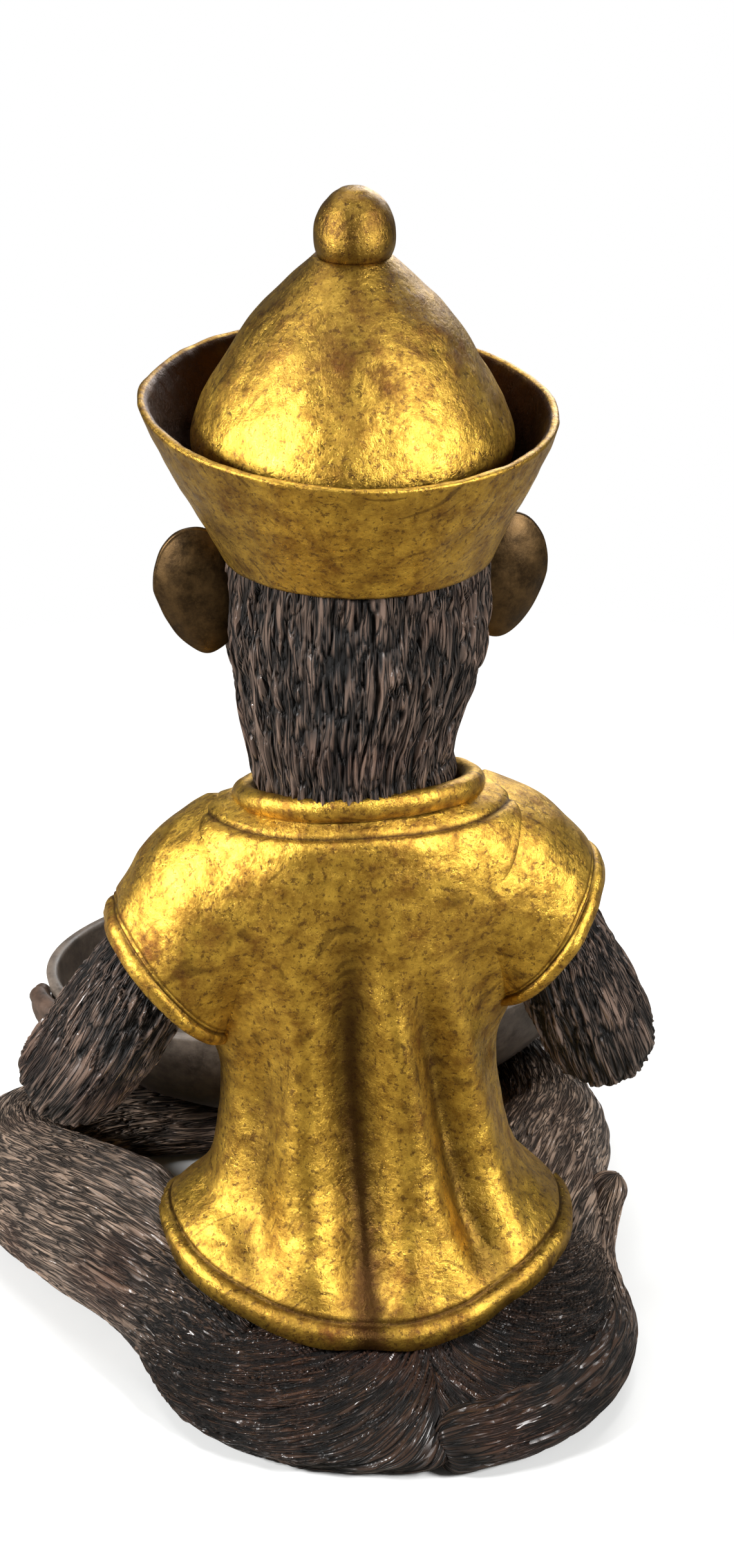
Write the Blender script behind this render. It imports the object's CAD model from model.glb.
# %% [markdown]
# # A seated monkey in a gilt hat, with a bowl on its ankles
# The real thing is cast resin: the fur was carved in clay before it was moulded, the hat and the jacket
# were covered in metal leaf, and the whole was rubbed with brown paint. Here each casting is one mesh.
# A mesh is a grid of points worked out with numpy, so a carved groove is a number that we can change.

# %% Open the frame
import math
import bpy
import numpy as np
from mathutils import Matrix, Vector


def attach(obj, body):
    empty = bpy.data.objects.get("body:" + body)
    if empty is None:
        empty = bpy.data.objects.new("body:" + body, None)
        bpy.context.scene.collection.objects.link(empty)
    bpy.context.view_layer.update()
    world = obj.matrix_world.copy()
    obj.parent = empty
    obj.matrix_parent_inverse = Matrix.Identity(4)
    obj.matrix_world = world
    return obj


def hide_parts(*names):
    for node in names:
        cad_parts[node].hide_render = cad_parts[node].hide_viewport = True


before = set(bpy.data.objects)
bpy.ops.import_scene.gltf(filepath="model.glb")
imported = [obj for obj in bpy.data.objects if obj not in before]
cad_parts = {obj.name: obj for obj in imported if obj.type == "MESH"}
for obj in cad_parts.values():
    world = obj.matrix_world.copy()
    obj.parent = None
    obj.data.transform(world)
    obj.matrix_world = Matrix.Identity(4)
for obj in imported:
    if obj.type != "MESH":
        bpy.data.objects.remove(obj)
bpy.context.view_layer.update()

MM = 0.001                         # tables are in millimetres, the frame in metres
LONG = 11                          # a lock of hair is this many times longer than it is wide
BLEND = 20                         # clay fills the crease between two forms within this distance
FELT = 2.0                         # the figure stands on felt of this thickness
LEAN = math.tan(math.radians(13))  # the collar's plane climbs towards the back
LEFT, RIGHT = 1, -1                # the figure's own sides, as signs of x
print("frame nodes:", len(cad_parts))

# %% [markdown]
# ## Random numbers that stay put
# Hair, patina and hand-made unevenness all need randomness that is the same on each run. Value noise
# gives it: a random number belongs to each whole-number point of space, and a smooth curve joins them.

# %% Value noise


def lattice(cell, seed):
    """A fixed number from 0 to 1 for each whole-number point: what follows the point in a large sine."""
    number = np.sin(cell @ np.array([127.1, 311.7, 74.7]) + 17.3 * seed) * 43758.5453
    return number - np.floor(number)


def noise(place, seed=0):
    """From -1 to 1: the lattice numbers of a point's eight neighbours, eased along each axis."""
    cell = np.floor(place)
    part = place - cell
    part = part * part * (3 - 2 * part)
    total = 0.0
    for corner in np.ndindex(2, 2, 2):
        weight = np.prod(np.where(corner, part, 1 - part), axis=-1)
        total = total + weight * lattice(cell + corner, seed)
    return 2 * total - 1


print("noise at one point:", round(float(noise(np.array([[0.5, 0.5, 0.5]]))[0]), 3))

# %% [markdown]
# ## Smooth tables and smooth lines
# A potter's profile is a few widths at a few heights. `ease` joins them with one smooth curve. `thread`
# does the same in space: it lays a line through a few places and spreads points evenly along it.

# %% Tables and lines


def ease(x, known, values):
    """A cubic through the table's points whose slope at each is that of its two neighbours."""
    known, values = np.asarray(known, float), np.asarray(values, float)
    slope = np.gradient(values, known)
    i = np.clip(np.searchsorted(known, x) - 1, 0, len(known) - 2)
    span = known[i + 1] - known[i]
    t = np.clip((x - known[i]) / span, 0, 1)
    return ((2 * t**3 - 3 * t**2 + 1) * values[i] + (t**3 - 2 * t**2 + t) * span * slope[i]
            + (3 * t**2 - 2 * t**3) * values[i + 1] + (t**3 - t**2) * span * slope[i + 1])


def thread(places, count):
    """Points at even steps of length along a Catmull-Rom curve, and the length at each; columns past
    the third, such as a radius, are carried along."""
    p = np.asarray(places, float)
    p = np.vstack([2 * p[0] - p[1], p, 2 * p[-1] - p[-2]])
    t = np.linspace(0, len(p) - 3 - 1e-9, 60 * (len(p) - 3))
    i = t.astype(int)
    f = (t - i)[:, None]
    a, b, c, d = p[i], p[i + 1], p[i + 2], p[i + 3]
    q = b + 0.5 * f * (c - a + f * (2 * a - 5 * b + 4 * c - d + f * (3 * (b - c) + d - a)))
    run = np.r_[0, np.cumsum(np.linalg.norm(np.diff(q[:, :3], axis=0), axis=1))]
    even = np.linspace(0, run[-1], count)
    return np.stack([np.interp(even, run, q[:, k]) for k in range(q.shape[1])], 1), even


def step(x, low, high):
    """0 below low, 1 above high, and a smooth slope between."""
    t = np.clip((x - low) / (high - low), 0, 1)
    return t * t * (3 - 2 * t)


def circle(count):
    """Even angles once round."""
    return np.linspace(0, 2 * np.pi, count, endpoint=False)


def bump(x, centre, reach):
    """A bell that is 1 at its centre and near 0 two reaches away."""
    return np.exp(-((x - centre) / reach) ** 2)


print("half way up a table:", float(ease(np.array([0.5]), [0, 1, 2], [0, 1, 0])[0]))

# %% [markdown]
# ## Grids of points, and the skin over them
# Every piece is rows and columns of points. Columns close round the piece. Rows either close too, as on
# a ring, or end in a pole at each end. `outward` finds which way the skin faces, so that carving can
# push points in or out.

# %% Grids


def outward(places, loop=False):
    """Unit normals: the cross product of the steps along the two grid directions, turned so that the
    flow of places through the skin is positive, which is what pointing out means."""
    down = np.roll(places, -1, 0) - np.roll(places, 1, 0) if loop else np.gradient(places, axis=0)
    around = np.roll(places, -1, 1) - np.roll(places, 1, 1)
    normal = np.cross(around, down)
    flux = (normal * (places - places.mean((0, 1)))).sum()
    length = np.linalg.norm(normal, axis=-1, keepdims=True)
    return normal / np.maximum(length, 1e-12) * (1 if flux > 0 else -1)


def swell(places, height, loop=False):
    """Push each point along its normal by its height in millimetres."""
    return places + outward(places, loop) * height[..., None]


def sheet(places, loop=False):
    """Points in millimetres, four-sided faces, and the fans that close the poles, all facing out: the
    sum over the faces of corner . (edge x edge), six times the volume, is made positive."""
    rows, cols = places.shape[:2]
    index = np.arange(rows * cols).reshape(rows, cols)
    low = index if loop else index[:-1]
    high = np.roll(index, -1, 0) if loop else index[1:]
    faces = np.stack([low, np.roll(low, -1, 1), np.roll(high, -1, 1), high], -1).reshape(-1, 4)
    points = places.reshape(-1, 3)
    fans = np.zeros((0, 3), int)
    if not loop:
        points = np.vstack([points, places[0].mean(0), places[-1].mean(0)])
        first, last = rows * cols, rows * cols + 1
        fans = np.vstack([
            np.stack([np.roll(index[0], -1), index[0], np.full(cols, first)], -1),
            np.stack([index[-1], np.roll(index[-1], -1), np.full(cols, last)], -1)])
    halves = np.vstack([faces[:, :3], faces[:, [0, 2, 3]], fans])
    a, b, c = (points[halves[:, k]] for k in range(3))
    if (np.cross(b - a, c - a) * a).sum() < 0:
        faces, fans = faces[:, ::-1], fans[:, ::-1]
    return points, faces, fans


def build(name, points, faces):
    """One smooth-shaded object in the scene from points in millimetres and lists of corners."""
    mesh = bpy.data.meshes.new(name)
    mesh.from_pydata((points * MM).tolist(), [], faces)
    mesh.polygons.foreach_set("use_smooth", np.ones(len(mesh.polygons), bool))
    thing = bpy.data.objects.new(name, mesh)
    bpy.context.scene.collection.objects.link(thing)
    return thing


def skin(name, places, loop=False, **marks):
    """A closed mesh over a grid of places; each mark is one number or vector per place."""
    points, faces, fans = sheet(places, loop)
    thing = build(name, points, faces.tolist() + fans.tolist())
    rows, cols = places.shape[:2]
    for mark, values in marks.items():
        values = np.asarray(values, np.float32)
        wide = values.ndim > 2
        flat = values.reshape(rows * cols, -1)
        if not loop:
            poles = [ring.reshape(cols, -1).mean(0) for ring in (values[0], values[-1])]
            flat = np.vstack([flat, *poles])
        store = thing.data.attributes.new(mark, "FLOAT_VECTOR" if wide else "FLOAT", "POINT")
        store.data.foreach_set("vector" if wide else "value", flat.ravel())
    return thing


def finish_piece(thing, material, slot, *nodes, body="figure"):
    """Give the piece its finish, and tie it to the CAD nodes that it stands for and the body it rides."""
    thing.data.materials.append(material)
    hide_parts(*nodes)
    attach(thing, body)
    print(f"{thing.name}: {len(thing.data.vertices)} points")


def sided(side, part):
    """The name of a piece that comes in a pair."""
    return ("left_" if side == LEFT else "right_") + part


def on_felt(grid):
    """The grid with no point lower than the felt's top: the greater of z and FELT."""
    grid[..., 2] = np.maximum(grid[..., 2], FELT)
    return grid


print("a grid's skin:", [part.shape for part in sheet(np.arange(60.0).reshape(4, 5, 3))])

# %% [markdown]
# ## Limbs
# An arm, a leg, a finger and the tail are all rings carried along a line. Each ring keeps the turn of
# the ring before it, so the skin doesn't twist, and the radius falls to nothing at a rounded end.

# %% Rings along a line


def limb(places, rows, cols):
    """Each place is x, y, z and a radius. A ring's point is centre + radius * (cos * side + sin * other),
    and towards both ends the radius shrinks as a ball's does: by the root of 1 - near squared.
    Returns the grid, the even line with its radius, and the flow: two axes across, and along / LONG."""
    line, along = thread(places, rows)
    centre, radius = line[:, :3], line[:, 3]
    run = np.gradient(centre, axis=0)
    run /= np.linalg.norm(run, axis=1, keepdims=True)
    side = np.empty_like(run)
    last = np.array([0.1, 0.2, 1.0])
    for i, way in enumerate(run):
        last = last - way * (last @ way)
        last = last / np.linalg.norm(last)
        side[i] = last
    other = np.cross(run, side)
    taper = np.ones(rows)
    for from_end, end_radius in ((along, radius[0]), (along[-1] - along, radius[-1])):
        near = np.clip(1 - from_end / end_radius, 0, 1)
        taper *= np.sqrt(np.maximum(1 - near**2, 0.0004))
    turn = circle(cols)
    ring = np.cos(turn)[None, :, None] * side[:, None] + np.sin(turn)[None, :, None] * other[:, None]
    grid = centre[:, None] + ring * (radius * taper)[:, None, None]
    flow = np.stack([radius[:, None] * np.cos(turn), radius[:, None] * np.sin(turn),
                     np.broadcast_to(along[:, None] / LONG, (rows, cols))], -1)
    return grid, line, flow


def near_limb(grid, line):
    """How far each point is outside a limb: the least of (distance to a ring's centre - its radius)."""
    found = np.full(grid.shape[:2], 1e9)
    for ball in line[:: max(1, len(line) // 60)]:
        found = np.minimum(found, np.linalg.norm(grid - ball[:3], axis=-1) - ball[3])
    return found


def fillet(gap, reach=BLEND):
    """How far clay fills the crease between two forms: (reach - |gap|) squared over four reaches."""
    return np.maximum(reach - np.abs(gap), 0) ** 2 / (4 * reach)


print("clay in a crease, mm:", fillet(np.array([0.0, 10.0, 20.0])))

# %% [markdown]
# ## Carved fur
# The sculptor drew each lock with a loop tool. Noise whose cells are eleven times longer along the hair
# than across it gives such locks, and its zero lines are the grooves between them. Slow noise bends
# the lines first, so the locks wander as hand-drawn ones do.

# %% Fur


def strands(flow, width, seed):
    """0 in a groove and 1 on a lock: a root of the size of long noise, wide locks plus fine strands."""
    slow = flow * np.array([1, 1, 4.0]) / (4.5 * width)
    sway = np.stack([noise(slow, seed + 1), noise(slow, seed + 2), np.zeros(flow.shape[:-1])], -1)
    bent = flow + sway * width * 2.2
    locks = np.abs(noise(bent / (2.6 * width), seed + 3)) ** 0.55
    fine = np.abs(noise(bent / (1.3 * width), seed + 4)) ** 0.55
    return np.clip(0.62 * locks + 0.55 * fine, 0, 1)


def carve(grid, height, depth):
    """Push each point along its normal by depth * (height - 0.6), so that locks stand out a little."""
    return swell(grid, depth * (height - 0.6))


print("a lock's height at one point:", strands(np.full((1, 1, 3), 0.5), 1.0, 0).round(3).item())

# %% [markdown]
# ## Finishes
# A finish is a material made of nodes. Effects that several finishes share are node groups: `Mottle`
# spreads patches and specks over a piece, and each material turns them into its own colours.

# %% Helpers for nodes


def feed(tree, node, *inputs):
    """Each input is a socket's name or number, and the value or the other socket that feeds it."""
    for key, value in inputs:
        if isinstance(value, bpy.types.NodeSocket):
            tree.links.new(value, node.inputs[key])
        else:
            node.inputs[key].default_value = value
    return node


def add(tree, kind, *inputs, **settings):
    """A new node with its settings and its inputs."""
    made = tree.nodes.new(kind)
    for key, value in settings.items():
        setattr(made, key, value)
    return feed(tree, made, *inputs)


def ramp(tree, source, *stops):
    """A colour ramp fed by a socket; each stop is a place and a grey."""
    made = add(tree, "ShaderNodeValToRGB", (0, source))
    stripes = made.color_ramp.elements
    stripes[0].position, stripes[1].position = stops[0][0], stops[-1][0]
    for place, _ in stops[1:-1]:
        stripes.new(place)
    for stripe, (_, grey) in zip(stripes, stops):
        stripe.color = (grey, grey, grey, 1)
    return made.outputs[0]


def blend_colour(tree, share, *colours):
    """Two colours or sockets mixed by a share."""
    first, second = (c if isinstance(c, bpy.types.NodeSocket) else (*c, 1) for c in colours)
    return add(tree, "ShaderNodeMix", (0, share), (6, first), (7, second), data_type="RGBA").outputs[2]


def sums(tree, way, *values):
    """One step of arithmetic on numbers or sockets."""
    return add(tree, "ShaderNodeMath", *enumerate(values), operation=way).outputs[0]


def speckle(tree, where, scale, detail=4.0, rough=0.6):
    """Noise in space; scale counts its cells in a metre."""
    return add(tree, "ShaderNodeTexNoise", ("Vector", where), ("Scale", scale), ("Detail", detail),
               ("Roughness", rough)).outputs[0]


print("node helpers: feed, add, ramp, blend_colour, sums, speckle")

# %% [markdown]
# A node group is built once and placed in each material. This one only puts out masks: where the paint
# lies in patches, where it is speckled, and where it was scratched.

# %% The shared group


def mottle_group():
    """Patches from coarse noise, specks from fine noise and scratches from stretched noise, 0 to 1."""
    group = bpy.data.node_groups.new("Mottle", "ShaderNodeTree")
    group.interface.new_socket("Place", in_out="INPUT", socket_type="NodeSocketVector")
    for name in ("Patches", "Specks", "Scratches"):
        group.interface.new_socket(name, in_out="OUTPUT", socket_type="NodeSocketFloat")
    place = add(group, "NodeGroupInput").outputs["Place"]
    patches = ramp(group, speckle(group, place, 150, 8.0, 0.74), (0.38, 0.0), (0.66, 1.0))
    specks = ramp(group, speckle(group, place, 560, 4.0, 0.75), (0.55, 0.0), (0.61, 1.0))
    stretched = add(group, "ShaderNodeMapping", ("Vector", place), ("Rotation", (0.5, 0.3, 0.6)),
                    ("Scale", (30, 600, 90))).outputs[0]
    scratches = ramp(group, speckle(group, stretched, 1.0, 2.0, 0.5), (0.64, 0.0), (0.70, 1.0))
    add(group, "NodeGroupOutput", ("Patches", patches), ("Specks", specks), ("Scratches", scratches))
    return group


MOTTLE = mottle_group()
print("group outputs:", [s.name for s in MOTTLE.interface.items_tree if s.in_out == "OUTPUT"])

# %% [markdown]
# Every finish starts in the same way: a Principled shader, the object's own coordinates, and the group
# above. A mark on the mesh is read with an Attribute node, and small relief goes through a Bump node.

# %% A new material


def new_finish(name):
    """A material with its tree, its shader, the object's own coordinates and the mottle."""
    finish = bpy.data.materials.new(name)
    finish.use_nodes = True
    tree = finish.node_tree
    place = add(tree, "ShaderNodeTexCoord").outputs["Object"]
    mottle = add(tree, "ShaderNodeGroup", ("Place", place), node_tree=MOTTLE)
    return finish, tree, tree.nodes["Principled BSDF"], place, mottle.outputs


def mark(tree, name, output="Fac"):
    """A number, or with "Vector" a vector, that the mesh carries at each point."""
    return add(tree, "ShaderNodeAttribute", attribute_name=name).outputs[output]


def relief(tree, height, distance, strength=1.0):
    """A normal bent by a height; distance is the relief's depth in metres."""
    return add(tree, "ShaderNodeBump", ("Strength", strength), ("Distance", distance),
               ("Height", height)).outputs[0]


print("each finish starts with", MOTTLE.name)

# %% [markdown]
# ## Metal leaf
# Leaf is a skin of metal over brown clay paint. It is bright where it was rubbed, thin and red-brown
# where it wore through, and dark where the patina stayed in the hollows. A mark on the mesh, `hollow`,
# says how deep each point lies, so the patina gathers there.

# %% Leaf


def leaf_finish(name):
    """Gold in two tones, then worn spots, specks, scratches and the patina of the hollows over it."""
    finish, tree, shader, place, mottle = new_finish(name)
    gold = blend_colour(tree, mottle["Patches"], (0.72, 0.445, 0.064), (0.28, 0.145, 0.019))
    bald = ramp(tree, speckle(tree, place, 17, 5.0, 0.66), (0.44, 0.0), (0.66, 0.9))
    worn = sums(tree, "MULTIPLY", mottle["Patches"], bald)
    gold = blend_colour(tree, worn, gold, (0.15, 0.050, 0.014))
    gold = blend_colour(tree, sums(tree, "MULTIPLY", mottle["Specks"], 0.75), gold, (0.12, 0.055, 0.018))
    gold = blend_colour(tree, sums(tree, "MULTIPLY", mottle["Scratches"], 0.55), gold, (0.08, 0.035, 0.01))
    deep = mark(tree, "hollow")
    gold = blend_colour(tree, deep, gold, (0.042, 0.017, 0.005))
    metal = ramp(tree, sums(tree, "ADD", worn, deep), (0.0, 0.95), (1.0, 0.93))
    fine = speckle(tree, place, 400, 5.0, 0.78)
    rough = sums(tree, "ADD", ramp(tree, fine, (0.3, 0.22), (0.75, 0.46)), sums(tree, "MULTIPLY", worn, 0.3))
    grain = sums(tree, "ADD", fine, sums(tree, "MULTIPLY", speckle(tree, place, 75, 3.0, 0.5), 2.2))
    feed(tree, shader, ("Base Color", gold), ("Metallic", metal), ("Roughness", rough),
         ("Normal", relief(tree, grain, 0.0005, 0.9)))
    return finish


leaf = leaf_finish("leaf")
print("leaf nodes:", len(leaf.node_tree.nodes))

# %% [markdown]
# ## Painted fur and bare skin
# The carved hair was painted nearly black and then dry-brushed with a pale brown, which only reaches
# the tops of the locks. The mark `lock` holds the carved height, so it decides where the pale paint
# lies. Finer hair than the mesh can carry is a bump that reads the piece's own flow of hair.

# %% Fur and skin finishes


def fur_finish(name, dark, pale, share, dusk=None):
    """Locks from the mesh plus hairs from noise: a hair's groove is where stretched noise crosses 0.5.
    Where the mark `dusk` is 1, the second pair of tones takes over."""
    finish, tree, shader, place, mottle = new_finish(name)
    wander = add(tree, "ShaderNodeTexNoise", ("Vector", mark(tree, "flow", "Vector")), ("Scale", 0.7),
                 ("Detail", 1.5), ("Distortion", 0.8)).outputs[0]
    hair = sums(tree, "ABSOLUTE", sums(tree, "SUBTRACT", wander, 0.5))
    hair = ramp(tree, hair, (0.0, 0.0), (0.035, 0.55), (0.12, 1.0))
    bare, lock = mark(tree, "bare"), mark(tree, "lock")
    hair = sums(tree, "MULTIPLY", hair, sums(tree, "SUBTRACT", 1.0, bare))
    height = sums(tree, "ADD", sums(tree, "MULTIPLY", lock, 1 - share), sums(tree, "MULTIPLY", hair, share))
    groove = ramp(tree, lock, (0.28, 0.95), (0.60, 0.0))
    if dusk:
        dim = mark(tree, "dusk")
        dark, pale = (blend_colour(tree, dim, *pair) for pair in zip((dark, pale), dusk))
        groove = sums(tree, "MULTIPLY", groove, sums(tree, "MULTIPLY_ADD", dim, 0.7, 0.3))
    colour = blend_colour(tree, ramp(tree, height, (0.46, 0.0), (0.70, 0.42), (0.97, 1.0)), dark, pale)
    rust = ramp(tree, speckle(tree, place, 26, 3.0, 0.5), (0.5, 0.0), (0.75, 0.45))
    colour = blend_colour(tree, rust, colour, (0.075, 0.028, 0.015))
    colour = blend_colour(tree, groove, colour, (0.0015, 0.001, 0.0008))
    face = blend_colour(tree, mottle["Patches"], (0.060, 0.036, 0.026), (0.115, 0.072, 0.050))
    feed(tree, shader, ("Base Color", blend_colour(tree, bare, colour, face)), ("Specular IOR Level", 0.30),
         ("Roughness", ramp(tree, height, (0.5, 0.75), (0.9, 0.24))),
         ("Normal", relief(tree, height, 0.0036)))
    return finish


fur = fur_finish("fur", (0.0015, 0.001, 0.0008), (0.135, 0.090, 0.068), 0.5)
ground_fur = fur_finish("fur_ground", (0.036, 0.025, 0.018), (0.26, 0.186, 0.138), 0.6,
                        ((0.002, 0.0013, 0.001), (0.040, 0.024, 0.017)))


def smooth_finish(name, dark, pale, rough, metal=0.0):
    """Painted resin with no hair: patches between two tones, specks, and a soft unevenness."""
    finish, tree, shader, place, mottle = new_finish(name)
    colour = blend_colour(tree, mottle["Patches"], dark, pale)
    colour = blend_colour(tree, sums(tree, "MULTIPLY", mottle["Specks"], 0.35), colour, pale)
    feed(tree, shader, ("Base Color", colour), ("Metallic", metal),
         ("Roughness", ramp(tree, mottle["Patches"], (0.0, rough), (1.0, rough + 0.18))),
         ("Normal", relief(tree, speckle(tree, place, 180), 0.0003, 0.7)))
    return finish


skin_paint = smooth_finish("skin_paint", (0.030, 0.018, 0.012), (0.085, 0.048, 0.030), 0.42)
ear_paint = smooth_finish("ear_paint", (0.028, 0.015, 0.0045), (0.085, 0.048, 0.016), 0.38, 0.85)
bowl_paint = smooth_finish("bowl_paint", (0.055, 0.043, 0.034), (0.150, 0.118, 0.092), 0.38)
core_paint = smooth_finish("core_paint", (0.12, 0.10, 0.09), (0.16, 0.14, 0.12), 0.6)
felt_paint = smooth_finish("felt_paint", (0.012, 0.014, 0.012), (0.020, 0.022, 0.020), 0.9)
pin_paint = smooth_finish("pin_paint", (0.5, 0.5, 0.5), (0.6, 0.6, 0.6), 0.3, 1.0)
eye_paint = smooth_finish("eye_paint", (0.010, 0.005, 0.003), (0.030, 0.012, 0.006), 0.06)
print("finishes:", len(bpy.data.materials))

# %% [markdown]
# ## The hat
# The crown is a turned dome and the brim a flared ring that was pressed by hand: its edge waves, and
# it tips towards the back. Both are profiles turned round an axis, then shifted ring by ring. The knob
# is a third casting on top.

# %% Crown and knob


def turned(profile_heights, radii, heights, cols, across):
    """Rings round an upright axis: (radius * cos + across, radius * sin, height)."""
    turn = circle(cols)
    radius = ease(heights, profile_heights, radii)[:, None]
    return np.stack([radius * np.cos(turn) + across, radius * np.sin(turn), heights[:, None] + 0 * turn], -1)


crown_heights = np.array([284, 298, 302.9, 309, 316.9, 330.3, 344, 352.3, 360])
crown_radii = np.array([40, 44.2, 45.8, 46.5, 44.0, 36.6, 27.3, 19.0, 11.0])
crown_grid = turned(crown_heights, crown_radii, np.linspace(284, 360, 150), 300, 1.6)
crown_dents = 0.35 * noise(crown_grid / 16, 3) + 0.25 * noise(crown_grid / 6, 4)
crown_grid = swell(crown_grid, crown_dents)
crown_hollow = np.clip(0.25 - 0.6 * crown_dents, 0, 1) * 0.35
crown_hollow = crown_hollow + 0.8 * step(-crown_grid[..., 2], -304, -296)
crown_hollow = crown_hollow + 0.48 * step(crown_grid[..., 2], 316, 344)
finish_piece(skin("crown", crown_grid, hollow=crown_hollow), leaf, "gilt", "hat_crown")

knob_heights = 359 + 20.5 * np.array([-0.12, 0.0, 0.15, 0.36, 0.6, 0.8, 0.93, 0.985, 1.0])
knob_radii = 11.5 * np.array([0.80, 0.87, 0.97, 1.0, 0.91, 0.70, 0.43, 0.20, 0.03])
knob_levels = 356.5 + 23.0 * np.sin(np.linspace(0, np.pi / 2, 70))
knob_grid = turned(knob_heights, knob_radii, knob_levels, 120, 0.9)
knob_dents = 0.3 * noise(knob_grid / 7, 8)
knob_grid = swell(knob_grid, knob_dents * step(-knob_grid[..., 2], -379, -374))
knob_hollow = 0.58 + np.clip(0.3 - knob_dents, 0, 1) * 0.4 + 0.9 * step(-knob_grid[..., 2], -361, -358.6)
finish_piece(skin("knob", knob_grid, hollow=knob_hollow), leaf, "gilt", "hat_knob")

# %% [markdown]
# The brim's profile is one closed loop: up the outside, over the lip in a half circle, and down the
# inside. Grease and patina darkened the inside, so the mark `hollow` is near 1 there.

# %% Brim


def brim_surface(share, inset, turn):
    """Height share 0 to 1 up the flare; radius = 40 + 20.5 * flare - inset; the ring tips back by 5.5
    degrees and sideways, and its edge waves with slow noise, all in proportion to the share."""
    radius = 40 + 20.5 * ease(share, [0, 0.25, 0.55, 0.8, 1], [0, 0.25, 0.58, 0.83, 1])
    wave = noise(np.stack([2.2 * np.cos(turn), 2.2 * np.sin(turn), 0 * turn], -1), 5)
    radius = radius[:, None] - inset[:, None] + share[:, None] * 0.7 * wave[None]
    x = radius * np.cos(turn) + 2.5 * share[:, None]
    y = radius * np.sin(turn)
    z = 273 + 45 * share[:, None] - y * np.sin(np.radians(5.5)) * share[:, None]
    return np.stack([x, y, z + share[:, None] * (0.033 * x + 0.6 * wave[None])], -1)


outer_shares, inner_shares = np.linspace(0.0, 0.965, 80), np.linspace(0.965, 0.02, 70)
lip_turn = np.linspace(0, np.pi, 12)[1:-1]
brim_shares = np.r_[outer_shares, 0.965 + 0.035 * np.sin(lip_turn), inner_shares]
brim_insets = np.r_[0 * outer_shares, 1.6 - 1.6 * np.cos(lip_turn), 3.2 + 0 * inner_shares]
brim_grid = brim_surface(brim_shares, brim_insets, circle(420))
brim_dents = 0.3 * noise(brim_grid / 11, 6) + 0.18 * noise(brim_grid / 4, 7)
brim_grid = swell(brim_grid, brim_dents, True)
inside = (brim_insets > 2.4).astype(float)[:, None]
brim_hollow = np.clip(0.3 - brim_dents, 0, 1) * 0.35 + 0.92 * inside
brim_hollow = brim_hollow + 0.3 * inside * (1 - brim_shares[:, None])
brim_hollow = brim_hollow + 0.5 * step(-brim_shares, -0.03, 0.0)[:, None]
brim_hollow = brim_hollow + 0.32 * (1 - inside) * step(np.abs(brim_grid[..., 0]), 24, 56)
finish_piece(skin("brim", brim_grid, loop=True, hollow=np.clip(brim_hollow, 0, 1)), leaf, "gilt", "hat_brim")

# %% [markdown]
# ## The jacket
# Cloth carved in clay: it hangs from the shoulders, narrows to the waist and flares to a rolled hem.
# The folds are long troughs that slant down the back, most of them as far as the hem. Each is a
# bell-shaped dent round a slanting line, with a low rim on both sides.

# %% Jacket body

HEM, TOP = 30, 191.5
jacket_z = np.array([HEM, 43.5, 56.9, 70.4, 83.8, 97.3, 110.8, 124.2, 137.7, 151.1, 164.6, 178.0, 186, TOP])
jacket_half = np.array([66.5, 59.8, 53.3, 48.5, 45.8, 44.4, 44, 44.8, 46.7, 49.3, 51.6, 51.2, 46, 37.5])
jacket_deep = np.array([53, 47.5, 42.1, 38.2, 36, 34.8, 34.5, 34.6, 34.9, 35.2, 35.5, 35.2, 33.5, 28.5])


def jacket_drift(z):
    """The hem is carried back by 5 mm and to the right by 1.5 mm; the waist isn't."""
    return step(-z, -110, -HEM)


def near_jacket(grid):
    """Distance outside the jacket, about: (the oval's share of the point - 1) * its smaller half."""
    z = np.clip(grid[..., 2], HEM, TOP)
    wide, deep, drift = ease(z, jacket_z, jacket_half), ease(z, jacket_z, jacket_deep), jacket_drift(z)
    share = np.hypot((grid[..., 0] + 1.5 * drift) / wide, (grid[..., 1] - 5 * drift) / deep)
    return (share - 1) * np.minimum(wide, deep)


def folds(x, z, back):
    """Depth of the back's troughs in mm: bells round lines x = start + slope * (height below start)."""
    depth = 0.0
    for start_x, start_z, end_x, end_z, reach, deep in (
            (8, 184, 5, 32, 8.8, 7.0), (-8, 162, -36, 42, 6.0, 5.2), (28, 132, 42, 40, 7.0, 3.0),
            (-22, 165, -47, 85, 6.0, 1.4)):
        share = np.clip((start_z - z) / (start_z - end_z), 0, 1.4)
        centre = start_x + (end_x - start_x) * share + 0.9 * np.sin(z / 19 + start_x)
        rim = bump(x, centre - 1.75 * reach, reach) + bump(x, centre + 1.75 * reach, reach)
        length = step(share, 0.0, 0.4) * step(-share, -1.35, -0.85)
        depth = depth + deep * length * (bump(x, centre, reach) - 0.4 * rim)
    return depth * back


def hem_wave(turn):
    """The hem's ups and downs in mm: three waves and five waves round the body."""
    return 1.3 * np.sin(3 * turn + 0.6) + 0.7 * np.sin(5 * turn + 2.0)


print("fold depth at the middle of the back:", round(float(folds(np.array([6.0]), 80, 1.0)[0]), 2))

# %% [markdown]
# The rows run from a small cap under the collar down to the hem, then turn in and up. The carving is a
# sum of small heights: folds, creases at the front, the rolled hem with its engraved line, the closing.

# %% The jacket's grid and its carving

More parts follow.
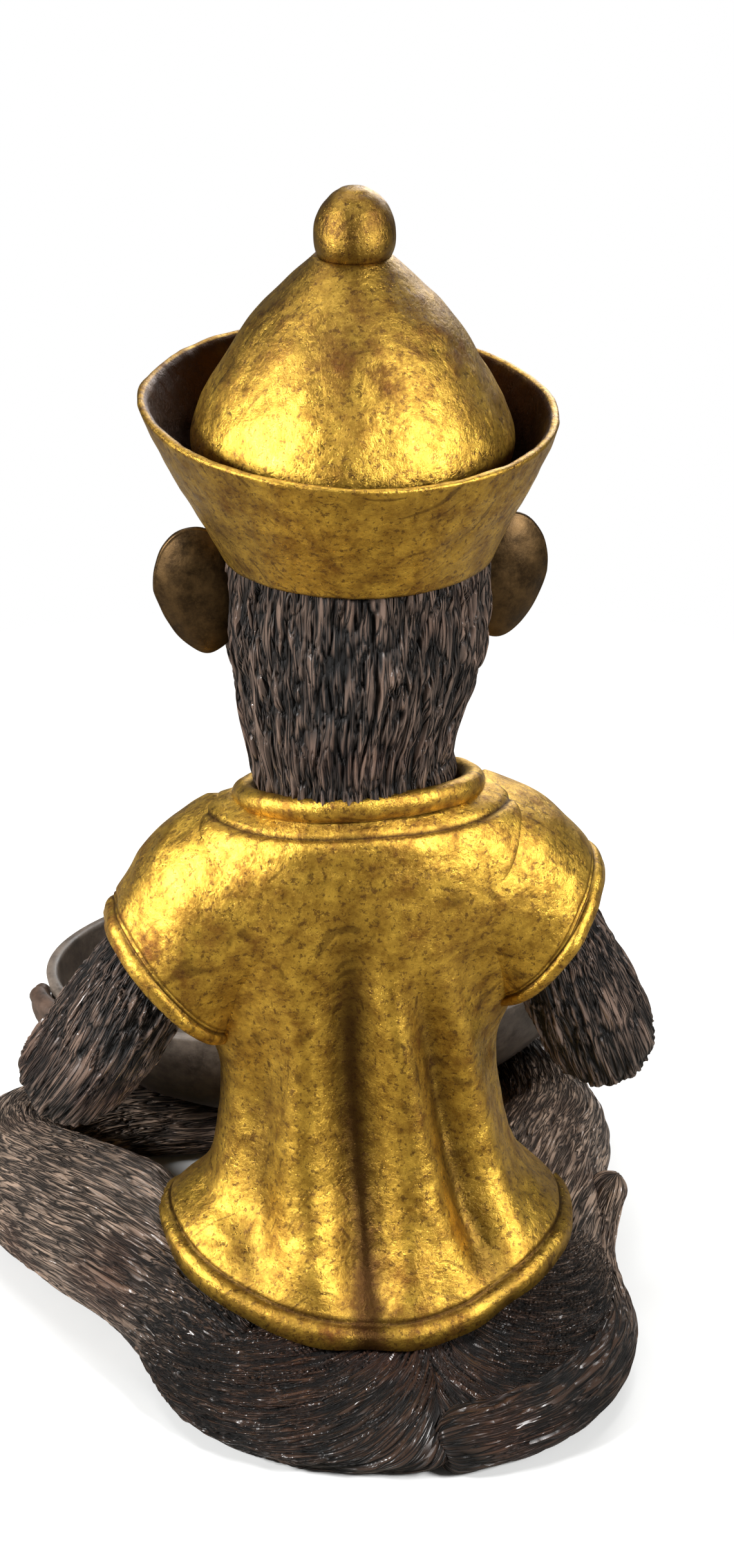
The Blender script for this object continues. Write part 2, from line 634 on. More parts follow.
jacket_rows, jacket_cols, cap_rows, hem_rows = 235, 380, 7, 8
drop_rows = jacket_rows - cap_rows - hem_rows
jacket_turn = circle(jacket_cols) - np.pi / 2
levels = np.r_[np.full(cap_rows, TOP), np.linspace(TOP, HEM, drop_rows), np.linspace(29.4, 35, hem_rows)]
hem_tuck = [0.985, 0.965, 0.95, 0.94, 0.93, 0.92, 0.8, 0.6]
tuck = np.r_[np.linspace(0.25, 1.0, cap_rows + 1)[:-1], np.ones(drop_rows), hem_tuck]
wide = (ease(levels, jacket_z, jacket_half) * tuck)[:, None]
deep = (ease(levels, jacket_z, jacket_deep) * tuck)[:, None]
levels, tuck = levels[:, None], tuck[:, None]
jacket_grid = np.stack([wide * np.cos(jacket_turn) - 1.5 * jacket_drift(levels),
                        deep * np.sin(jacket_turn) + 5 * jacket_drift(levels),
                        levels + 0 * jacket_turn], -1)
jacket_grid[..., 2] += step(jacket_grid[..., 2], 150, TOP) * jacket_grid[..., 1] * LEAN
hem_share = step(-jacket_grid[..., 2], -70, -HEM)
hem_lift = np.where(np.cos(jacket_turn) > 0, 16.0, 12.0) * np.abs(np.cos(jacket_turn)) ** 2.0
jacket_grid[..., 2] += hem_share * (hem_wave(jacket_turn) + hem_lift)[None]
back = step(np.sin(jacket_turn), 0.1, 0.5)[None] * step(jacket_grid[..., 2], 24, 30)
front = step(-np.sin(jacket_turn), 0.1, 0.6)[None]
troughs = folds(jacket_grid[..., 0], levels, back)
carving = -troughs - 1.6 * front * np.abs(noise(jacket_grid * np.array([0.06, 0.06, 0.014]), 31))
carving = carving + 0.55 * noise(jacket_grid / 15, 11) + 0.22 * noise(jacket_grid / 5, 12)
above_hem = levels - HEM
carving = carving * (0.3 + 0.7 * step(above_hem, 4, 22))
lip = 1.6 * bump(above_hem, 2.4, 2.8) - 1.0 * bump(above_hem, 6.0, 0.75)
lip = lip + (1.2 + 1.2 * back) * bump(above_hem, 0, 15)
centre_line = 0.9 * bump(jacket_grid[..., 0], 0, 0.9) * (np.sin(jacket_turn) < 0)[None] * (tuck > 0.99)
neck_line = bump(levels, 187.0, 0.55)
carving = carving + lip - centre_line - 0.9 * neck_line
print("jacket carving, mm:", round(float(carving.min()), 1), "to", round(float(carving.max()), 1))

# %% [markdown]
# The two sleeves grow out of the jacket. Where two clay forms meet, the sculptor smooths the crease, so
# both skins swell towards each other by the fillet rule: most at the crease, nothing a thumb's width off.

# %% Sleeves on the jacket

sleeve_tables = {
    LEFT: ([14, 30, 46, 56, 62], [165, 165, 160, 148, 136], [22, 25.2, 26.2, 26.8, 27.0],
           [5, 12, 26, 34, 40]),
    RIGHT: ([14, 30, 44, 54, 60], [166, 166, 163, 153, 144], [22, 25.2, 26.0, 26.6, 27.0],
            [5, 10, 22, 30, 36])}


def sleeve_surface(side, rows=150, cols=250):
    """Rings whose centre, radius and downward lean come from a table; a ring's point is centre +
    radius * (cos * y axis + sin * the axis that stands square to the lean)."""
    out, height, radius, lean = sleeve_tables[side]
    known, share = np.linspace(0, 1, 5), np.linspace(0, 1, rows)
    out, height, radius = (ease(share, known, table) for table in (out, height, radius))
    lean = np.radians(ease(share, known, lean))
    turn = circle(cols)
    taper = np.sqrt(np.clip(1 - np.clip(1 - share / 0.25, 0, 1) ** 2, 0.002, 1))[:, None]
    reach = radius[:, None] * taper
    centre = np.stack([side * out, 0.5 + 1.5 * share, height], -1)
    grid = centre[:, None] + np.stack([reach * np.sin(turn) * side * np.sin(lean)[:, None],
                                       reach * np.cos(turn),
                                       reach * np.sin(turn) * np.cos(lean)[:, None]], -1)
    return grid, np.concatenate([centre, radius[:, None]], 1)


sleeve_grids = {side: sleeve_surface(side) for side in (LEFT, RIGHT)}
sleeve_gap = np.minimum(*(near_limb(jacket_grid, line) for _, line in sleeve_grids.values()))
carving = carving + fillet(sleeve_gap) * (tuck > 0.99)
creases = bump(above_hem, 6.0, 0.75) + neck_line + centre_line
jacket_hollow = np.maximum(creases, 0.14 * troughs) + 0.24 * step(-above_hem, -30, 0)
jacket_skin = swell(jacket_grid, carving)
finish_piece(skin("jacket_cloth", jacket_skin, hollow=np.clip(jacket_hollow, 0, 0.95) * (tuck > 0.9)), leaf,
             "gilt", "jacket")


def sleeve(side):
    """A limb whose open end turns in: after the last ring come rings that are up to 3 mm smaller, then
    some that go back up inside, so that the hem shows its thickness and a dark mouth."""
    grid, line = sleeve_grids[side]
    rows, cols = grid.shape[:2]
    along = np.linspace(0, 1, rows)[:, None]
    turn = circle(cols)[None]
    end_mm = (1 - along) * np.linalg.norm(np.diff(line[:, :3], axis=0), axis=1).sum()
    drag = 0.9 * noise(np.stack([np.cos(turn) * 2.6 + 0 * along, np.sin(turn) * 2.6 + 0 * along,
                                 along * 1.3 + 0 * turn], -1), 21 + side)
    shape = drag * step(along, 0.45, 0.9) + 0.3 * noise(grid / 6, 22)
    shape = shape + 0.9 * bump(end_mm, 2.2, 2.4)
    shape = shape - 0.8 * bump(end_mm, 5.2, 0.7) - 0.5 * bump(end_mm, 7.0, 0.6)
    shape = shape + fillet(near_jacket(grid))
    grid = swell(grid, shape)
    centre = line[-1, :3]
    run = np.cross(grid[-1, 0] - centre, grid[-1, cols // 4] - centre)
    run *= np.sign((run * (centre - line[-3, :3])).sum()) / np.linalg.norm(run)
    rings = [centre + (grid[-1] - centre) * share - run * depth for share, depth in (
        (0.985, -0.7), (0.955, -0.9), (0.925, -0.6), (0.905, 0.4), (0.89, 2.5), (0.88, 6.0), (0.86, 12.0))]
    grid = np.concatenate([grid, np.stack(rings)])
    hollow = 0.85 * bump(end_mm, 5.2, 0.8) + 0.6 * bump(end_mm, 7.0, 0.5) + 0 * turn
    inner = np.repeat(np.array([0.1, 0.1, 0.2, 0.6, 0.9, 1.0, 1.0])[:, None], cols, 1)
    name = sided(side, "sleeve")
    finish_piece(skin(name + "_cloth", grid, hollow=np.vstack([hollow, inner])), leaf, "gilt", name)


for side in (LEFT, RIGHT):
    sleeve(side)

# %% [markdown]
# A plain core fills the jacket. It is 11 mm slimmer than the jacket all round, so that no fold cuts into
# it, and it shows only when the jacket is hidden.

# %% The core inside the jacket

core_z = np.linspace(34, 177, 30)
core_turn = circle(48)
core_half, core_deep = (ease(core_z, jacket_z, table)[:, None] - 11 for table in (jacket_half, jacket_deep))
core_z = core_z[:, None] + 0 * core_turn
core_grid = np.stack([core_half * np.cos(core_turn), core_deep * np.sin(core_turn) + 3 * (core_z < 70),
                      core_z], -1)
finish_piece(skin("core", core_grid), core_paint, "core", "trunk")

# %% [markdown]
# ## The collar
# A rolled band of cloth round the neck, higher at the back than at the front. It is an oval ring: a
# small oval carried round a large one that leans, so rows and columns both close on themselves.

# %% Collar


def collar_surface(count_round, count_roll):
    """(35 cos, 28 sin) is the ring; the roll adds (3.8 cos out, 4.3 sin up) and is pinched in front;
    the back lifts with y."""
    around = circle(count_round)[:, None]
    roll = circle(count_roll)[None]
    pinch = 1 - 0.55 * bump(np.angle(np.exp(1j * (around + np.pi / 2))), 0, 0.07)
    out = 3.8 * np.cos(roll) * pinch
    x, y = (35.0 + out) * np.cos(around), (28.0 + out) * np.sin(around)
    z = 195.3 + 4.3 * np.sin(roll) * pinch + y * LEAN - 0.022 * x
    return np.stack([x, y, z], -1), 0 * around + roll


collar_grid, collar_roll = collar_surface(360, 36)
collar_dents = 0.3 * noise(collar_grid / 6, 41)
collar_grid = swell(collar_grid, collar_dents, True)
collar_hollow = 0.9 * bump(np.sin(collar_roll), -1.0, 0.35) + 0.6 * (np.cos(collar_roll) < -0.5)
finish_piece(skin("collar_roll", collar_grid, loop=True, hollow=np.clip(collar_hollow, 0, 0.9)), leaf,
             "gilt", "collar")

# %% [markdown]
# ## The head
# One skin from the neck to under the hat. In front of it the muzzle, brows, cheeks, lips and nostrils
# are bells added to the skull's radius, as pellets of clay are. Behind and beside the face the fur is
# carved in long wavy locks that fall straight down.

# %% Head

head_heights = [179, 191, 199, 210, 222.8, 237, 250, 262, 272, 285, 296]
head_radii = [20.0, 21.0, 28.6, 31.6, 34.4, 37.4, 39.0, 38.9, 38.4, 37.3, 33.0]
MUZZLE_Z, EYE_Z, BROW_Z = 232, 252, 264


def head_surface(rows, cols):
    """Radius of the skull at each height, plus the face's bells, round an axis that shifts with height."""
    z = np.linspace(180, 295, rows)[:, None]
    turn = circle(cols)[None] - np.pi / 2
    radius = ease(z, head_heights, head_radii) + 0 * turn
    around = np.angle(np.exp(1j * (turn + np.pi / 2)))
    s = 39 * around
    ahead = step(-np.abs(around), -1.25, -0.6)
    from_muzzle = np.hypot(s / 20.5, (z - MUZZLE_Z) / 15.5)
    face = 19.5 * np.exp(-from_muzzle**2.6)
    face = face + 4.2 * bump(z, BROW_Z - 0.006 * s**2, 4.6) * step(-np.abs(s), -29, -14)
    face = face + 3.2 * bump(np.abs(s), 24, 9) * bump(z, 240, 10)
    face = face + 2.0 * bump(s, 0, 5.5) * bump(z, 249, 9)
    for eye in (-12.8, 12.8):
        away = np.hypot(s - eye, 1.15 * (z - EYE_Z))
        face = face - 3.6 * np.exp(-(away / 6.2) ** 4) + 2.4 * bump(away, 7.4, 1.9)
    mouth = 226.5 + 0.014 * s**2
    face = face - 2.6 * bump(z, mouth, 1.15) * step(-np.abs(s), -22, -17)
    face = face + 1.5 * bump(z, mouth + 3.2, 2.2) * step(-np.abs(s), -20, -8)
    face = face + 1.2 * bump(z, mouth - 3.4, 2.4) * step(-np.abs(s), -16, -6)
    for nostril in (-4.3, 4.3):
        face = face - 3.0 * bump(s, nostril, 1.7) * bump(z, 241.3 + 0.3 * np.abs(s), 1.4)
    face = face + 1.6 * bump(s, 0, 7) * bump(z, 244, 2.6)
    radius = radius + face * ahead
    forward = -3 * step(z, 195, 250) * step(-z, -272, -262)
    x = (radius - 0.8 * bump(z, 214, 16) + 1.6 * bump(z, 200, 6)) * np.cos(turn) + 2.3 * bump(z, 213, 18)
    y = radius * np.sin(turn) + forward
    bare = step(-np.hypot(s / 27, (z - 243) / 27), -1.05, -0.8)
    flow = np.stack([36 * np.cos(turn) + 0 * z, 36 * np.sin(turn) + 0 * z, (295 - z) / LONG + 0 * turn], -1)
    return np.stack([x, y, z + 0 * turn], -1), flow, bare


head_grid, head_flow, head_bare = head_surface(228, 424)
head_locks = strands(head_flow, 0.92, 50)
head_fine = strands(head_flow * np.array([1.4, 1.4, 2.0]), 1.2, 51)
head_height = head_locks * (1 - head_bare) + (0.64 + 0.05 * head_fine) * head_bare
head_skin = skin("head_fur", carve(head_grid, head_height, 3.2), flow=head_flow, lock=head_height,
                 bare=head_bare)
finish_piece(head_skin, fur, "fur", "head")

# %% [markdown]
# ## The ears
# Each ear is a shallow dish, seen from behind as a smooth shell. Its profile starts at the middle of
# the back, goes out to the rim, turns over it, and comes back down the hollow front.

# %% Ears


def ear(side):
    """Rows run from the back's middle over the rim to the front's middle: share s of the outline, and
    depth y = how far behind the rim's plane. The outline narrows towards the lobe."""
    out = np.linspace(0.02, 1.0, 46)
    lip = np.linspace(0, np.pi, 14)[1:-1]
    share = np.r_[out, 1.0 + 0.045 * np.sin(lip), out[::-1]]
    dish = -3.2 + 1.0 * (1 - out[::-1] ** 2)
    depth = np.r_[4.6 * (1 - out**2.4) - 0.6, -0.6 - 1.1 * (1 - np.cos(lip)), dish]
    turn = circle(150)
    outline_x = 13.2 * np.cos(turn) * (1 - 0.20 * np.sin(-turn).clip(0, 1)) + 1.5 * np.sin(turn)
    outline_z = 19.0 * np.sin(turn)
    middle = {LEFT: 46.0, RIGHT: -44.6}[side]
    x = middle + side * share[:, None] * outline_x
    z = 259.8 + share[:, None] * outline_z
    front = (np.arange(len(share)) > 52)[:, None]
    ridge = 1.5 * bump(share[:, None], 0.72, 0.10) * front
    y = -4.4 + depth[:, None] - ridge + 0 * turn - 0.028 * side * (x - middle) * 4
    grid = np.stack([x, y, z], -1)
    grid = swell(grid, 0.25 * noise(grid / 5, 61))
    name = sided(side, "ear")
    finish_piece(skin(name + "_shell", grid), ear_paint, "skin", name)


for side in (LEFT, RIGHT):
    ear(side)

# %% [markdown]
# ## Arms
# The upper arm comes out of the sleeve, turns at the elbow and runs forward beside the bowl. Its hair
# sweeps down and round the elbow, so the flow is turned slowly along the limb.

# %% Arms

arm_lines = {
    LEFT: [(50, 2, 150, 11), (61, 0, 143, 15), (71, -1, 128.5, 17.6), (81, -2.5, 112.5, 18.2),
           (90, -6, 99, 17.8), (91.5, -24, 88, 15.6), (92, -40, 80.5, 13.4), (92, -54, 73, 11.4),
           (92.3, -66, 67.5, 9.8), (92.8, -74, 65, 9)],
    RIGHT: [(-46, 2, 153, 11), (-59, 0, 144, 15), (-66.5, -1, 128.5, 17.4), (-74, -2.5, 112.5, 18.2),
            (-80.5, -6, 98, 17.8), (-84.5, -24, 87.5, 15.6), (-88, -40, 80, 13.4), (-90.5, -54, 73, 11.4),
            (-92, -66, 67.5, 9.8), (-92.8, -74, 65, 9)]}


def twist(flow, amount):
    """Turn the across axes by an angle that grows with the way along: hair that winds round a limb."""
    angle = amount * flow[..., 2]
    across = (flow[..., 0] + 1j * flow[..., 1]) * np.exp(1j * angle)
    return np.stack([across.real, across.imag, flow[..., 2]], -1)


for side, places in arm_lines.items():
    arm_grid, _, arm_flow = limb(places, 270, 180)
    arm_flow = twist(arm_flow, 0.07 * side)
    arm_height = strands(arm_flow, 0.85, 70 + side)
    arm_grid = carve(arm_grid, arm_height, 2.2)
    name = sided(side, "arm")
    finish_piece(skin(name + "_fur", arm_grid, flow=arm_flow, lock=arm_height), fur, "fur", name)

# %% [markdown]
# ## Haunches, legs and tail
# The monkey sits on spread haunches. Hair starts under the hem behind the spine, falls steeply there,
# and sweeps out to both sides. A power of a complex number bends lines in just that way: its imaginary
# part is constant along a hair, and its real part measures the way along it.

# %% Haunches

leg_lines = {
    LEFT: [(34, 42, 20, 15), (52, 18, 24.6, 24.2), (73.6, -10, 26.6, 26), (95, -38, 24.6, 24),
           (110, -64, 21.6, 21.3), (105.5, -90, 19.2, 18.7), (80, -103, 17.4, 16.8),
           (47, -104.3, 15.3, 14.8), (16, -104.3, 15.2, 14.7), (-11, -104.3, 14.8, 13.6)],
    RIGHT: [(-34, 36, 20, 15), (-44, 18, 23, 22.6), (-57, -10, 25, 24.5), (-69, -38, 23.3, 22.6),
            (-78, -64, 21.2, 20.8), (-74, -108, 19, 18.6), (-56, -132, 17.4, 16.8),
            (-33, -134.8, 15.3, 14.8), (-12, -134.8, 15.2, 14.7), (11, -134.8, 14.8, 13.6)]}
leg_grids = {side: limb(leg_lines[side], rows, 290) for side, rows in ((LEFT, 310), (RIGHT, 320))}
SEAT_X = -5.5
seat_rise = np.array([2, 8.1, 17.8, 27.2, 33.3, 38.0, 41])
seat_half = 77.5 * np.array([0.965, 1.0, 0.975, 0.91, 0.83, 0.73, 0.55])
seat_deep = 64 * np.array([0.94, 1.0, 0.91, 0.72, 0.60, 0.48, 0.36])
seat_back = 28 * np.array([0.96, 1.0, 0.89, 0.61, 0.36, 0.2, 0.15])


def dusk(grid):
    """0 on the worn, pale knees and 1 on the dark back of the haunches."""
    return step(grid[..., 1] + 6 * noise(grid / 14, 85), -5, 55) ** 0.8


def seat_surface(rows, cols):
    """Ovals from the felt up; the height of the rings is spread evenly along the profile's length."""
    profile = np.stack([seat_deep + seat_back, seat_rise], 1)
    run = np.r_[0, np.cumsum(np.linalg.norm(np.diff(profile, axis=0), axis=1))]
    along = np.linspace(0, run[-1], rows)
    z = ease(along, run, seat_rise)
    wide, deep, shift = (ease(along, run, table) for table in (seat_half, seat_deep, seat_back))
    turn = circle(cols) - np.pi / 2
    grid = np.stack([wide[:, None] * np.cos(turn) + SEAT_X, deep[:, None] * np.sin(turn) + shift[:, None],
                     z[:, None] + 0 * turn], -1)
    middle = np.array([SEAT_X, 27, 2])
    base = np.stack([grid[0] * share + (1 - share) * middle for share in (0.3, 0.8, 0.985)])
    base[..., 2] = FELT
    return np.concatenate([base, grid]), np.r_[0, 0, 0, along]


seat_grid, seat_along = seat_surface(118, 760)
seat_arc = 78 * np.arctan2(seat_grid[..., 0] + 14, seat_grid[..., 1] - 24)
seat_side = np.where(seat_arc > 0, 1.0, -1.0)
seat_spot = (np.abs(seat_arc) + 1j * (seat_along[:, None] + 7)) / 40
seat_bend = 40 * seat_spot**1.7 / 1.7
seat_flow = np.stack([seat_side * seat_bend.imag, 9 * seat_side, seat_bend.real / LONG], -1)
seat_gap = np.minimum(*(near_limb(seat_grid, line) for _, line, _ in leg_grids.values()))
seat_x, seat_y, seat_z = np.moveaxis(seat_grid, -1, 0)
seat_swell = fillet(seat_gap) + 1.1 * noise(seat_grid / 30, 81) - 2.4 * step(seat_z, 20, 30)
seat_swell = seat_swell - 2.4 * bump(seat_x, -58, 13) * bump(seat_y, 72, 16) * bump(seat_z, 16, 9)
seat_grid = swell(seat_grid, seat_swell * step(seat_z, 2, 7))
seat_height = strands(seat_flow, 1.2, 82)
seat_grid = on_felt(carve(seat_grid, seat_height, 2.4))
seat_grid[..., 1] -= 1.0 * step(seat_grid[..., 1], 80, 95)
seat_skin = skin("haunches", seat_grid, flow=seat_flow, lock=seat_height, dusk=dusk(seat_grid))
finish_piece(seat_skin, ground_fur, "fur", "seat")

# %% [markdown]
# Each leg is one limb from the hip over the knee to the crossed ankle. It swells where it meets the
# haunches, and it is pressed a little flatter where the jacket's hem lies on the thigh.

# %% Legs


def near_seat(grid):
    """Distance outside the haunches, about: (the oval's share of the point - 1) * its smaller half."""
    z = np.clip(grid[..., 2], 2, 41)
    wide, deep, shift = (ease(z, seat_rise, table) for table in (seat_half, seat_deep, seat_back))
    share = np.hypot((grid[..., 0] - SEAT_X) / wide, (grid[..., 1] - shift) / deep)
    return np.maximum((share - 1) * np.minimum(wide, deep), grid[..., 2] - 40)


for side, (leg_grid, _, leg_flow) in leg_grids.items():
    leg_swell = fillet(near_seat(leg_grid)) + 0.9 * noise(leg_grid / 26, 90 + side)
    leg_swell = leg_swell - 2.5 * step(-near_jacket(leg_grid), -14, -4) * step(leg_grid[..., 2], 20, 32)
    leg_grid = swell(leg_grid, leg_swell)
    leg_flow = twist(leg_flow, 0.02 * side)
    leg_height = strands(leg_flow, 0.95, 92 + side)
    leg_grid = on_felt(carve(leg_grid, leg_height, 1.2))
    name = sided(side, "leg")
    leg_skin = skin(name + "_fur", leg_grid, flow=leg_flow, lock=leg_height, dusk=dusk(leg_grid))
    finish_piece(leg_skin, ground_fur, "fur", name)

# %% [markdown]
# The tail starts behind the spine, lies along the right haunch on the table, and lifts its tip beside
# the thigh. The first seven places lie on an ellipse a little inside the haunch's outline, so the tail
# is partly sunk in the haunch.

# %% Tail

tail_turn = np.radians([96, 110, 124, 138, 152, 166, 180])
tail_places = [(SEAT_X + 70 * np.cos(a), 28 + 57 * np.sin(a), 10.0, 8.0) for a in tail_turn]
tail_places += [(-75.8, 13, 11.0, 7.9), (-78, 2, 15.3, 7.5), (-82.4, -5.5, 23.3, 7.2), (-86, -8.5, 32, 6.6),
                (-89.5, -10, 38.5, 6.2)]
tail_grid, _, tail_flow = limb(tail_places, 400, 84)
tail_height = strands(tail_flow, 1.0, 101)
tail_grid = swell(tail_grid, fillet(near_seat(tail_grid), 15))
tail_grid = on_felt(carve(tail_grid, tail_height, 1.5))
tail_grid[..., 1] -= 1.4 * step(tail_grid[..., 1], 80, 95)
tail_skin = skin("tail_fur", tail_grid, flow=tail_flow, lock=tail_height, dusk=dusk(tail_grid))
finish_piece(tail_skin, ground_fur, "fur", "tail")

# %% [markdown]
# ## Hands and feet
# Fingers and toes are short limbs set into a palm or a sole. A Remesh modifier melts them into one
# skin, as wet clay is smoothed with a brush, and a Smooth modifier softens the joins.

# %% Hands


def ball_grid(centre, half, rows=40, cols=60):
    """An ellipsoid: centre + half * (cos lat cos lon, cos lat sin lon, sin lat)."""
    lat = np.linspace(-np.pi / 2 + 0.03, np.pi / 2 - 0.03, rows)[:, None]
    lon = circle(cols)[None]
    unit = np.stack([np.cos(lat) * np.cos(lon), np.cos(lat) * np.sin(lon), np.sin(lat) + 0 * lon], -1)
    return np.asarray(centre) + unit * np.asarray(half)


def melt(node, grids):
    """Join the grids into one mesh and let Remesh and Smooth melt them together."""
    spots, faces, start = [], [], 0
    for grid in grids:
        points, squares, fans = sheet(grid)
        spots.append(points)
        faces += (squares + start).tolist() + (fans + start).tolist()
        start += len(points)
    thing = build(node + "_skin", np.vstack(spots), faces)
    remesh = thing.modifiers.new("melt", "REMESH")
    remesh.mode = "VOXEL"
    remesh.voxel_size = 0.9 * MM
    remesh.use_smooth_shade = True
    smooth = thing.modifiers.new("soften", "SMOOTH")
    smooth.factor = 0.5
    smooth.iterations = 5
    finish_piece(thing, skin_paint, "skin", node)


BOWL_X, BOWL_Y, BOWL_MIDDLE, BOWL_LOW = 97, 61, -108, 30.3
wall_rise = np.array([0, 0.04, 0.11, 0.21, 0.34, 0.5, 0.72, 1.0])
wall_share = np.array([0.47, 0.57, 0.67, 0.77, 0.855, 0.92, 0.97, 1.0])


def bowl_side(level, y):
    """The x of the bowl's outside at a share of its height, on its oval: x = wide * sqrt(1 - (y/deep)^2)."""
    rim = ease(np.array([level]), wall_rise, wall_share)[0]
    return BOWL_X * rim * math.sqrt(max(0.0, 1 - ((y - BOWL_MIDDLE) / (BOWL_Y * rim)) ** 2))


for side in (LEFT, RIGHT):
    grids = [ball_grid((92.5 * side, -79, 60.5), (5.6, 17, 12.6))]
    for level, reach in ((0.90, 104), (0.76, 118), (0.62, 121), (0.49, 118), (0.37, 113)):
        places = [((bowl_side(min(1, level + 0.08), -y) + 4.1) * side, -y,
                   BOWL_LOW + 46 * level - 0.02 * (y - 82), 3.9 - 0.8 * (y - 82) / 40)
                  for y in np.linspace(82, reach, 4)]
        grids.append(limb(places, 40, 26)[0])
    wrist = [(92 * side, -60, 68.5, 8.6), (92.5 * side, -70, 65.5, 8.2), (93 * side, -80, 61, 6.5)]
    melt(sided(side, "hand"), grids + [limb(wrist, 30, 36)[0]])

# %% [markdown]
# A foot is a sole with five toes, the big toe first. The shins cross, so each foot points to the other
# side, and the two are 30 mm apart from front to back.

# %% Feet

for side, shin in ((LEFT, -104), (RIGHT, -134.5)):
    grids = [limb([(-9 * side, shin, 12.5, 10.8), (-22 * side, shin, 12.5, 11), (-36 * side, shin, 12, 10.4),
                   (-46 * side, shin, 10.5, 8.4)], 50, 60)[0]]
    for i, spread in enumerate((-6.6, -3.3, 0.0, 3.3, 6.6)):
        size = 3.9 if i else 4.6
        toe = [(-40 * side, shin + 0.8 * spread, 10.5, size), (-48 * side, shin + spread, 9.2, size),
               (-56.5 * side, shin + spread, 7.6, size * 0.86)]
        grids.append(limb(toe, 30, 24)[0])
    melt(sided(side, "foot"), [on_felt(grid) for grid in grids])

# %% [markdown]
# ## The bowl
# A separate casting that only rests on the ankles. Its profile runs from the middle of the underside,
# up the wall, over the flat rim and down the inside. Its surface was painted grey-brown and rubbed.

# %% Bowl

steep = np.linspace(0, 1, 70) ** 1.5
outer_wall = ease(steep, wall_rise, wall_share)


def bowl_halves(half):
    """Half the oval's width from the underside's middle to the inside's middle; the wall is 4 mm thick."""
    wall = half * outer_wall
    return np.r_[half * np.array([0.1, 0.3, 0.45]), wall, half - 1, half - 3.0, half - 4.0,
                 (wall - 4)[::-1][1:], half * np.array([0.3, 0.1])][:, None]


bowl_z = np.r_[[BOWL_LOW] * 3, BOWL_LOW + 45.4 * steep, 76.2, 76.2, 75.6, (34.3 + 41.3 * steep)[::-1][1:],
               34.3, 34.3]
bowl_turn = circle(300)
bowl_grid = np.stack([bowl_halves(BOWL_X) * np.cos(bowl_turn),
                      BOWL_MIDDLE + bowl_halves(BOWL_Y) * np.sin(bowl_turn),
                      bowl_z[:, None] + 0 * bowl_turn], -1)
bowl_grid = swell(bowl_grid, 0.3 * noise(bowl_grid / 14, 111))
finish_piece(skin("bowl_shell", bowl_grid), bowl_paint, "bowl", "bowl", body="bowl")

# %% [markdown]
# ## What stays as the frame made it
# The pins, the dowel, the eyes and the felt are plain solids, so they keep their frame meshes and only
# get a finish.

# %% Frame pieces that show

steel = ("knob_pin", "ear_pins", "shoulder_pins", "wrist_pins", "hip_pins", "tail_pin")
plain = {"neck_dowel": core_paint, "eyes": eye_paint, "felt_pads": felt_paint}
plain.update(dict.fromkeys(steel, pin_paint))
for node, material in plain.items():
    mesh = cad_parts[node].data
    mesh.materials.clear()
    mesh.materials.append(material)
print("plain pieces:", len(plain))

# %% [markdown]
# ## Table, light and camera
# The table is pale where the figure stands, and fades to plain white for camera rays farther out. Metal
# would mirror a white table too strongly, so rays that come off a gloss see it darker. The world is dim
# for the figure and white for the camera.

# %% Floor and world

FAR = 3000                         # half the table's side
floor = build("table_top", np.array([(-FAR, -FAR, 0), (FAR, -FAR, 0), (FAR, FAR, 0), (-FAR, FAR, 0)]),
              [(0, 1, 2, 3)])
floor_paint = bpy.data.materials.new("table_paint")
floor_paint.use_nodes = True
table = floor_paint.node_tree
seen = add(table, "ShaderNodeLightPath").outputs
tone = blend_colour(table, seen["Is Glossy Ray"], (0.78, 0.785, 0.78), (0.20, 0.18, 0.15))
feed(table, table.nodes["Principled BSDF"], ("Roughness", 0.75), ("Base Color", tone))
spot = add(table, "ShaderNodeTexCoord").outputs["Object"]
away = add(table, "ShaderNodeVectorMath", (0, spot), operation="LENGTH").outputs["Value"]
share = sums(table, "MULTIPLY", ramp(table, away, (0.28, 0.0), (0.62, 1.0)), seen["Is Camera Ray"])
fade = add(table, "ShaderNodeMixShader", (0, share), (1, table.nodes["Principled BSDF"].outputs[0]),
           (2, add(table, "ShaderNodeEmission").outputs[0]))
feed(table, table.nodes["Material Output"], ("Surface", fade.outputs[0]))
floor.data.materials.append(floor_paint)

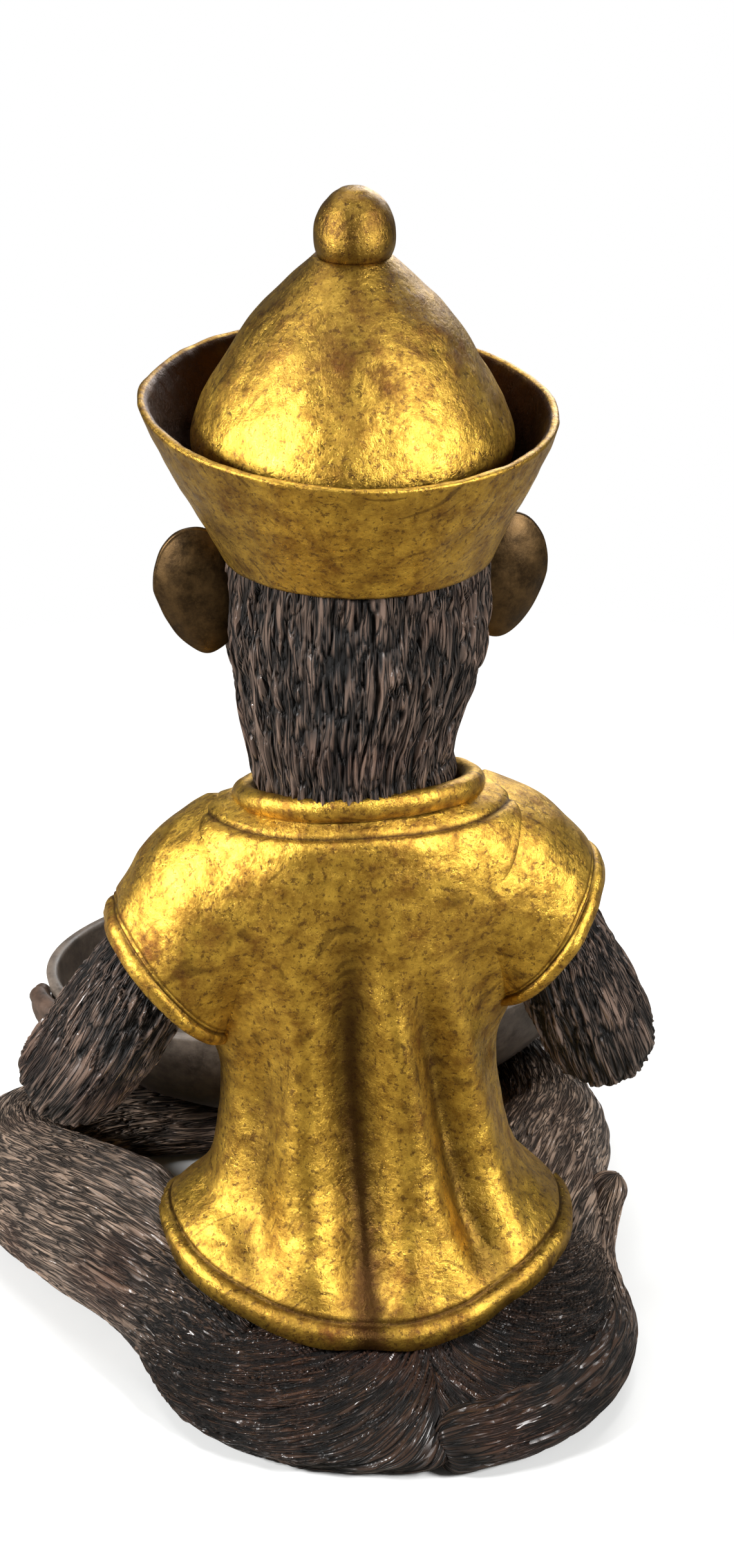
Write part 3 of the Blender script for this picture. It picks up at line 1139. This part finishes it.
world = bpy.data.worlds.new("room")
bpy.context.scene.world = world
world.use_nodes = True
room = world.node_tree
seen = add(room, "ShaderNodeLightPath").outputs
plain_seen = sums(room, "MAXIMUM", seen["Is Camera Ray"], seen["Is Transmission Ray"])
air = room.nodes["Background"]
feed(room, air, ("Color", (0.55, 0.53, 0.50, 1)), ("Strength", 0.23))
backdrop = add(room, "ShaderNodeBackground", ("Color", (1, 1, 1, 1)))
either = add(room, "ShaderNodeMixShader", (0, plain_seen), (1, air.outputs[0]), (2, backdrop.outputs[0]))
feed(room, room.nodes["World Output"], ("Surface", either.outputs[0]))
print("world strength:", air.inputs["Strength"].default_value)

# %% [markdown]
# Two soft lamps behind the figure, one on each side, give the leaf its bright patches. A weak one in
# front and one above keep the shadows open. The camera stands behind the figure and looks down at it.

# %% Lamps and camera

lamps = {"left_lamp": ((1.0, 0.28, 0.66), 0.30, 24), "right_lamp": ((-0.74, 0.70, 0.74), 0.34, 20),
         "front_lamp": ((-0.5, -1.1, 0.75), 0.7, 9), "top_lamp": ((0.15, -0.45, 1.4), 0.8, 12)}
for name, (place, size, power) in lamps.items():
    light = bpy.data.lights.new(name, "AREA")
    light.shape = "DISK"
    light.size, light.energy = size, power
    lamp = bpy.data.objects.new(name, light)
    lamp.location = place
    lamp.rotation_euler = (Vector((0, 0, 0.2)) - Vector(place)).to_track_quat("-Z", "Y").to_euler()
    bpy.context.scene.collection.objects.link(lamp)

FRAME_HIGH, FOCAL = 2434, 4200     # the picture's height and the focal length, both in pixels
camera = bpy.data.objects.new("camera", bpy.data.cameras.new("camera"))
camera.data.sensor_fit = "VERTICAL"
camera.data.sensor_height = 24.0
camera.data.lens = 24.0 * FOCAL / FRAME_HIGH
camera.data.clip_start = 0.01
camera.location = (0.10327, 0.73478, 0.558)
camera.rotation_euler = (math.radians(64), 0, math.radians(180 - 8.2))
bpy.context.scene.collection.objects.link(camera)
bpy.context.scene.camera = camera
bpy.context.scene.view_settings.view_transform = "Standard"
print("lamps:", list(lamps), "lens:", round(camera.data.lens, 2))
